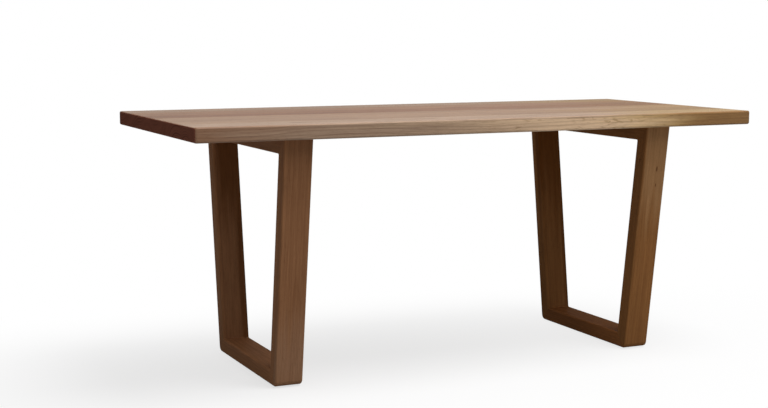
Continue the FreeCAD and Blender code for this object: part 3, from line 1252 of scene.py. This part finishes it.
@dataclass
class PlankTop:
    """The plank top and the tongues in its seams."""

    half_size: Triple = (0.9, 0.4, 0.021)
    underside: float = 0.718
    finish: WoodFinish = WoodFinish()
    boards: tuple[Board, ...] = (
        Board(BoardTone.FRONT, 1.3, (0.02, -0.09), 0.0065, 0.022, 0.009,
              # Pale patch on the front face only: partly pale wood, partly painted light that brightens this
              # vertical face.
              pale=(Patch((0.31, -0.067, -0.008), (0.38, 0.010, 0.0235), (0.62, 0.005, 0.004)),),
              deep=(Patch((-0.95, -0.07, 0.0), (0.24, 0.018, 1.0), (0.24, 0.012, 1.0)),
                    Patch((0.92, -0.07, 0.0), (0.33, 0.018, 1.0), (0.17, 0.008, 1.0))),
              warm=warm_end(0.45, 0.28),
              curl=(Patch((0.34, -0.075, -0.005), (0.36, 0.014, 0.021), (0.12, 0.006, 0.004)),)),
        Board(BoardTone.LIGHT, 4.1, (-0.04, -0.12), 0.007, warm=warm_end(0.50, 0.4)),
        Board(BoardTone.TAN, 7.7, (0.05, 0.10), 0.0065, 0.025, warm=warm_end(0.30, 0.3)),
        Board(BoardTone.RED, 9.2, (0.0, -0.08), 0.006, warm=warm_end(0.42, 0.4)),
        Board(BoardTone.BROWN, 12.6, (-0.05, -0.14), 0.008, 0.02, 0.007, warm=warm_end(0.26, 0.3)),
        Board(BoardTone.GREY, 15.4, (0.03, 0.11), 0.0075, warm=warm_end(0.45, 0.4)),
    )
    tongue: Board = Board(BoardTone.BARE, 20.5, (0.0, -0.05), 0.004)

    def lie(self, node: str) -> Lie:
        """Returns how a lengthwise board lies, from its node's box."""
        top_middle = (0.0, 0.0, self.underside + self.half_size[2])
        return Lie(middle_of(node), (1.0, 0.0, 0.0), (0.0, 1.0, 0.0), top_middle, self.half_size)

    def build(self) -> None:
        """Dresses the planks and tongues."""
        nodes = {f"top_plank_{number}": board for number, board in enumerate(self.boards, start=1)}
        nodes |= {f"loose_tongue_{number}": self.tongue for number in range(1, len(self.boards))}
        for node, board in nodes.items():
            dress(node, self.finish.material(f"{node}_wood", board, self.lie(node)))

    @staticmethod
    def axes(x: float, rows: Sequence[int]) -> list[Pair]:
        """Returns an upright axis in the middle of each of some planks, at one place along them."""
        return [(x, middle_of(f"top_plank_{row}")[1]) for row in rows]


@dataclass
class UndersideStiffener:
    """The steel channel in the underside and its screws."""

    rows: tuple[int, ...] = (1, 2, 3, 4, 5, 6)
    head_radius: float = 0.006
    head_height: float = 0.004
    head_rounding: float = 0.002
    rounding_steps: int = 6
    socket: HexSocket = HexSocket(0.002, 0.0022, 0.0005, 0.00025)
    shank_radius: float = 0.003
    plain_length: float = 0.004
    coat: PowderCoat = PowderCoat()

    def screw_profile(self, low: float, high: float) -> list[Turn]:
        """Makes the rings of a pan-head screw with a hexagon socket, head down.

        Args:
            low: The height of the head's lowest face.
            high: The height of the shank's tip.

        Returns:
            The screw's rings.
        """
        seat, rounding = low + self.head_height, self.head_rounding
        flat = self.head_radius - rounding
        return [*self.socket.turns(low),
                *(Turn(flat + rounding * sine, low + rounding * (1 - cosine))
                  for sine, cosine in quarter_turn(self.rounding_steps)),
                Turn(self.head_radius, seat),
                Turn(self.shank_radius, seat),
                *WOOD_THREAD.turns(self.shank_radius, seat + self.plain_length, high)]

    def build(self, stainless: bpy.types.Material) -> None:
        """Dresses the channel and adds the screws.

        Args:
            stainless: The screws' finish.
        """
        dress("underside_stiffener", self.coat.material("channel_powder_coat"))
        node = "stiffener_screws"
        low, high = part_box(node)
        axes = PlankTop.axes(middle_of(node)[0], self.rows)
        add_piece("pan_screws", turned_mesh(self.screw_profile(low.z, high.z), axes), stainless, node)


@dataclass
class FrameFasteners:
    """Bolts and washers of one leg frame, and the threaded inserts and sleeves let into its wood."""

    side: Side
    rows: tuple[int, ...] = (2, 3, 4, 5)
    head_radius: float = 0.0065
    head_height: float = 0.008
    head_chamfer: float = 0.0008
    knurl_depth: float = 0.00022
    knurl_margin: float = 0.0014
    socket: HexSocket = HexSocket(0.003, 0.004, 0.0004, 0.0004)
    shank_radius: float = 0.004
    plain_length: float = 0.024
    washer_ease: float = 0.00035
    washer_bore: float = 0.0041

    def bolt_profile(self, low: float, high: float) -> list[Turn]:
        """Makes the rings of a socket-head bolt, head down.

        Args:
            low: The height of the head's lowest face.
            high: The height of the shank's tip.

        Returns:
            The bolt's rings.
        """
        seat, radius, knurl = low + self.head_height, self.head_radius, self.knurl_depth
        start, end = low + self.knurl_margin, seat - self.knurl_margin
        return [*self.socket.turns(low),
                Turn(radius - self.head_chamfer, low),
                Turn(radius, low + self.head_chamfer),
                Turn(radius, start),
                Turn(radius, start + knurl * 2, Outline.RIBBED, knurl),
                Turn(radius, end, Outline.RIBBED, knurl),
                Turn(radius, end + knurl * 2),
                Turn(radius, seat),
                Turn(self.shank_radius, seat),
                *METRIC_THREAD.turns(self.shank_radius, seat + self.plain_length, high)]

    def washer_profile(self, low: float, high: float, radius: float) -> list[Turn]:
        """Makes the rings of a flat washer with eased edges.

        Args:
            low: The height of its lower face.
            high: The height of its upper face.
            radius: Its outer radius.

        Returns:
            The washer's rings, for a looped form.
        """
        ease, bore = self.washer_ease, self.washer_bore
        return [Turn(bore + ease, low), Turn(radius - ease, low),
                Turn(radius, low + ease), Turn(radius, high - ease),
                Turn(radius - ease, high), Turn(bore + ease, high),
                Turn(bore, high - ease), Turn(bore, low + ease)]

    def build(self, stainless: bpy.types.Material, brass: bpy.types.Material) -> None:
        """Adds the bolts and washers and dresses the inserts and sleeves.

        Args:
            stainless: Finish of the bolts and washers.
            brass: Finish of the inserts and sleeves.
        """
        side = self.side.value
        node = f"{side}_frame_bolts"
        low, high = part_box(node)
        axes = PlankTop.axes(middle_of(node)[0], self.rows)
        bolts = turned_mesh(self.bolt_profile(low.z, high.z), axes)
        add_piece(f"{side}_socket_bolts", bolts, stainless, node)
        node = f"{side}_bolt_washers"
        low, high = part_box(node)
        washers = turned_mesh(self.washer_profile(low.z, high.z, (high.x - low.x) / 2), axes, looped=True)
        add_piece(f"{side}_flat_washers", washers, stainless, node)
        for name in ("top_inserts", "foot_sleeves"):
            dress(f"{side}_{name}", brass)


@dataclass
class LevellingFoot:
    """One levelling foot: a threaded stud with a flange pressed into a nylon pad."""

    side: Side
    place: Place
    stud_radius: float = 0.004
    flange_radius: float = 0.008
    flange_height: float = 0.002
    flange_ease: float = 0.0004
    recess_radius: float = 0.00815
    pad_chamfer: float = 0.001
    rim_ease: float = 0.001
    rim_steps: int = 4
    flute_depth: float = 0.0004
    glide_rings: tuple[float, ...] = (0.005, 0.0085, 0.012)
    groove_width: float = 0.0011
    groove_depth: float = 0.0005
    nylon: MouldedNylon = MouldedNylon()

    def stud_profile(self, low: float, high: float) -> list[Turn]:
        """Makes the rings of the stud, flange down.

        Args:
            low: The height of the flange's lower face.
            high: The height of the stud's tip.

        Returns:
            The stud's rings.
        """
        top, ease = low + self.flange_height, self.flange_ease
        return [Turn(self.flange_radius - ease, low), Turn(self.flange_radius, low + ease),
                Turn(self.flange_radius, top - ease), Turn(self.flange_radius - ease, top),
                *METRIC_THREAD.turns(self.stud_radius, top, high)]

    def pad_profile(self, height: float, radius: float, floor: float) -> list[Turn]:
        """Makes the rings of the pad, with grooves under it and flutes round it.

        Args:
            height: The height of its upper face.
            radius: Its outer radius.
            floor: The height of the recess for the stud's flange.

        Returns:
            The pad's rings.
        """
        half, deep = self.groove_width / 2, self.groove_depth
        rings = [Turn(self.groove_width, deep), Turn(self.groove_width + half, 0.0)]
        for groove in self.glide_rings:
            rings += [Turn(groove - half, 0.0), Turn(groove - half / 2, deep),
                      Turn(groove + half / 2, deep), Turn(groove + half, 0.0)]
        ease, flute = self.rim_ease, self.flute_depth
        rings += [Turn(radius - self.pad_chamfer, 0.0), Turn(radius, self.pad_chamfer),
                  Turn(radius, self.pad_chamfer + flute, Outline.RIBBED, flute)]
        rings += [Turn(radius - ease + ease * cosine, height - ease * (1 - sine), Outline.RIBBED,
                       flute * cosine)
                  for sine, cosine in quarter_turn(self.rim_steps)]
        return rings + [Turn(self.recess_radius, height), Turn(self.recess_radius, floor)]

    def build(self, stainless: bpy.types.Material) -> None:
        """Adds the stud and the pad.

        Args:
            stainless: The stud's finish.
        """
        foot = f"{self.side.value}_{self.place.value}"
        body = f"{foot}_foot"
        low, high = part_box(f"{body}_stud")
        axes = [middle_of(f"{body}_stud")[:2]]
        stud = turned_mesh(self.stud_profile(low.z, high.z), axes)
        add_piece(f"{foot}_threaded_stud", stud, stainless, f"{body}_stud", body=body)
        recess = low.z
        low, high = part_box(f"{body}_pad")
        pad = turned_mesh(self.pad_profile(high.z, (high.x - low.x) / 2, recess), axes)
        nylon = self.nylon.material(f"{foot}_pad_nylon")
        add_piece(f"{foot}_glide_pad", pad, nylon, f"{body}_pad", body)


FRAME_BOARDS: Mapping[Side, Mapping[Member, Board]] = {
    Side.LEFT: {
        Member.FRONT_LEG: Board(
            BoardTone.LEFT_FRAME, 40.0, (0.01, -0.07), 0.006,
            # Painted light: this paler patch brightens the lower front face of the leg.
            pale=(Patch((-0.30, 0.0, -0.025), (0.10, 1.0, 0.02), (0.15, 1.0, 0.01)),)),
        Member.REAR_LEG: Board(
            BoardTone.LEFT_FRAME, 42.3, (-0.02, 0.06), 0.006,
            # The first deep patch is painted shade on the upper inner face, under the top; the second is a
            # dark streak of the wood.
            deep=(Patch((0.25, 0.02, -0.025), (0.17, 0.05, 0.02), (0.2, 0.03, 0.015)),
                  Patch((0.0, 0.045, -0.025), (0.5, 0.025, 0.02), (0.2, 0.012, 0.015)))),
        Member.TOP_RAIL: Board(BoardTone.LEFT_FRAME, 44.7, (0.03, -0.05), 0.006),
        Member.FOOT_RAIL: Board(BoardTone.LEFT_FOOT, 46.1, (-0.01, -0.06), 0.006),
    },
    Side.RIGHT: {
        Member.FRONT_LEG: Board(
            BoardTone.RIGHT_FRAME, 60.0, (0.01, -0.07), 0.006,
            knots=(Knot((0.226, 0.008, -0.025), (0.1, 0.2, 1.0), 0.0036),
                   Knot((0.174, 0.010, -0.025), (0.1, -0.1, 1.0), 0.0022),
                   Knot((0.250, -0.042, 0.0), (0.1, 1.0, 0.1), 0.003)),
            # Pale wood and painted light: this patch brightens the upper front face, against the shade under
            # the top.
            pale=(Patch((0.27, 0.005, -0.025), (0.17, 0.042, 0.007), (0.16, 0.008, 0.005)),)),
        Member.REAR_LEG: Board(
            BoardTone.RIGHT_FRAME, 62.3, (-0.02, 0.06), 0.006,
            # The first deep patch is painted shade on the upper inner face, under the top; the second is a
            # dark streak of the wood.
            deep=(Patch((0.25, 0.0, -0.025), (0.20, 0.08, 0.02), (0.25, 0.03, 0.015)),
                  Patch((0.0, 0.05, -0.025), (0.5, 0.02, 0.02), (0.2, 0.012, 0.015)))),
        Member.TOP_RAIL: Board(BoardTone.RIGHT_FRAME, 64.7, (0.03, -0.05), 0.006),
        Member.FOOT_RAIL: Board(BoardTone.RIGHT_FOOT, 66.1, (-0.01, -0.06), 0.006),
    },
}


@dataclass
class LegFrame:
    """One splayed leg frame."""

    side: Side
    boards: Mapping[Member, Board]
    tenons: Board = Board(BoardTone.BARE, 31.0, (0.0, -0.05), 0.004)
    finish: WoodFinish = WoodFinish(satin=0.6, wear_and_highlight_reach=0.008, ring_depth=0.4, streak_depth=0.42, film=0.08)
    splay_run: float = 0.099
    splay_rise: float = 0.714
    half_depth: float = 0.042
    half_thickness: float = 0.025
    endless: float = 10.0
    leans: ClassVar[Mapping[Member, float]] = {Member.FRONT_LEG: -1.0, Member.REAR_LEG: 1.0}

    def lie(self, node: str, member: Member) -> Lie:
        """Finds how a member lies: a leg with its grain along its slope, others with it from front to rear.

        Args:
            node: The member's CAD node.
            member: Which member it is.

        Returns:
            The member's middle, grain and half size.
        """
        middle = middle_of(node)
        if member in self.leans:
            splay = math.atan2(self.splay_run, self.splay_rise)
            along = (0.0, self.leans[member] * math.sin(splay), math.cos(splay))
            half = (self.endless, self.half_depth, self.half_thickness)
        else:
            low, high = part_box(node)
            along = (0.0, 1.0, 0.0)
            half = (self.endless, (high.x - low.x) / 2, (high.z - low.z) / 2)
        return Lie(middle, along, (1.0, 0.0, 0.0), middle, half)

    def build(self) -> None:
        """Dresses the frame's members."""
        for member, board in {**self.boards, Member.TENONS: self.tenons}.items():
            node = f"{self.side.value}_{member.value}"
            dress(node, self.finish.material(f"{node}_wood", board, self.lie(node, member)))


@dataclass(frozen=True)
class Lamp:
    """A round soft lamp: its place, its width and its power in watts."""

    name: str
    place: Triple
    size: float
    power: float


@dataclass
class Studio:
    """Floor, lights and camera."""

    floor_half: float = 60.0
    camera_place: Triple = (-1.96255, -3.92129, 1.02211)
    camera_yaw: float = 0.42744
    camera_pitch: float = 0.12596
    camera_reach: float = 200.0
    focal_pixels: float = 1404.62
    picture_width: float = 768.0
    sensor: float = 36.0
    ambient: float = 0.2
    lamps: tuple[Lamp, ...] = (Lamp("key", (1.63, -1.57, 6.4), 3.8, 282.0),
                               Lamp("front_fill", (1.0, -5.0, 6.5), 5.0, 150.0))
    lamp_aim: Triple = (0.0, 0.0, 0.4)
    floor_tone: Triple = (0.36, 0.36, 0.36)
    floor_glow: float = 0.70
    fade_middle: Triple = (-0.6, -0.15, 0.0)
    fade_run: Triple = (0.4, 1.0, 0.0)
    fade_start: float = 0.1
    fade_end: float = 1.2
    seen_rays: tuple[str, ...] = ("Is Camera Ray", "Is Glossy Ray", "Is Transmission Ray")

    def seen(self, wiring: Wiring) -> Signal:
        """Returns 1 where a ray shows the surface itself, or else 0."""
        camera, mirror, glass = (wiring.signal("LightPath", output=ray) for ray in self.seen_rays)
        return camera.maths("MAXIMUM", mirror).maths("MAXIMUM", glass)

    def floor(self) -> None:
        """Lays the floor, white to the camera but with the table's shadow on it."""
        half = self.floor_half
        mesh = bpy.data.meshes.new("floor")
        corners = [(-half, -half, 0), (half, -half, 0), (half, half, 0), (-half, half, 0)]
        mesh.from_pydata(corners, [], [(0, 1, 2, 3)])
        mesh.materials.append(self.floor_material())
        add_object("floor", mesh)

    def floor_material(self) -> bpy.types.Material:
        """Makes the floor's material.

        Returns:
            A grey floor whose camera view is lifted to white, open from below.
        """
        made = bpy.data.materials.new("floor_paper")
        wiring = empty_nodes(made)
        far = ((wiring.signal("TexCoord", output="Object") - self.fade_middle) * self.fade_run).length()
        share = far.step(self.fade_start, self.fade_end, self.floor_glow, 1.0)
        shown = share.mix(wiring.signal("BsdfDiffuse", WHITE), wiring.signal("Emission", WHITE))
        both = self.seen(wiring).mix(wiring.signal("BsdfDiffuse", self.floor_tone), shown)
        back = wiring.signal("NewGeometry", output="Backfacing")
        wiring.node("OutputMaterial", back.mix(both, wiring.signal("BsdfTransparent")))
        return made

    def world(self) -> None:
        """Sets an even fill light with a white background."""
        world = bpy.data.worlds.new("studio")
        bpy.context.scene.world = world
        wiring = empty_nodes(world)
        fill, white = wiring.signal("Background", WHITE, self.ambient), wiring.signal("Background", WHITE)
        wiring.node("OutputWorld", self.seen(wiring).mix(fill, white))

    def hang(self, lamp: Lamp) -> None:
        """Hangs one large soft lamp, aimed at the table.

        Args:
            lamp: The lamp to hang.
        """
        light = bpy.data.lights.new(lamp.name, "AREA")
        light.shape, light.size, light.energy = "DISK", lamp.size, lamp.power
        made = add_object(lamp.name, light)
        made.location = lamp.place
        made.rotation_euler = (Vector(self.lamp_aim) - made.location).to_track_quat("-Z", "Y").to_euler()

    def camera(self) -> None:
        """Stands the camera where the photograph was taken."""
        lens = bpy.data.cameras.new("camera")
        lens.sensor_width = self.sensor
        lens.lens = self.focal_pixels * self.sensor / self.picture_width
        lens.clip_end = self.camera_reach
        made = add_object("camera", lens)
        made.location = self.camera_place
        made.rotation_euler = (math.pi / 2 - self.camera_pitch, 0.0, -self.camera_yaw)
        bpy.context.scene.camera = made

    def build(self) -> None:
        """Sets up everything round the table."""
        bpy.context.scene.view_settings.view_transform = "Standard"
        self.floor()
        self.world()
        for lamp in self.lamps:
            self.hang(lamp)
        self.camera()


def main() -> None:
    """Builds the looks of the table."""
    logging.basicConfig(level=logging.INFO, format="%(name)s: %(message)s")
    stainless, brass = STAINLESS.material("turned_stainless"), BRASS.material("turned_brass")
    PlankTop().build()
    UndersideStiffener().build(stainless)
    for side, boards in FRAME_BOARDS.items():
        LegFrame(side, boards).build()
        FrameFasteners(side).build(stainless, brass)
        for place in Place:
            LevellingFoot(side, place).build(stainless)
    Studio().build()


if __name__ == "__main__":
    main()
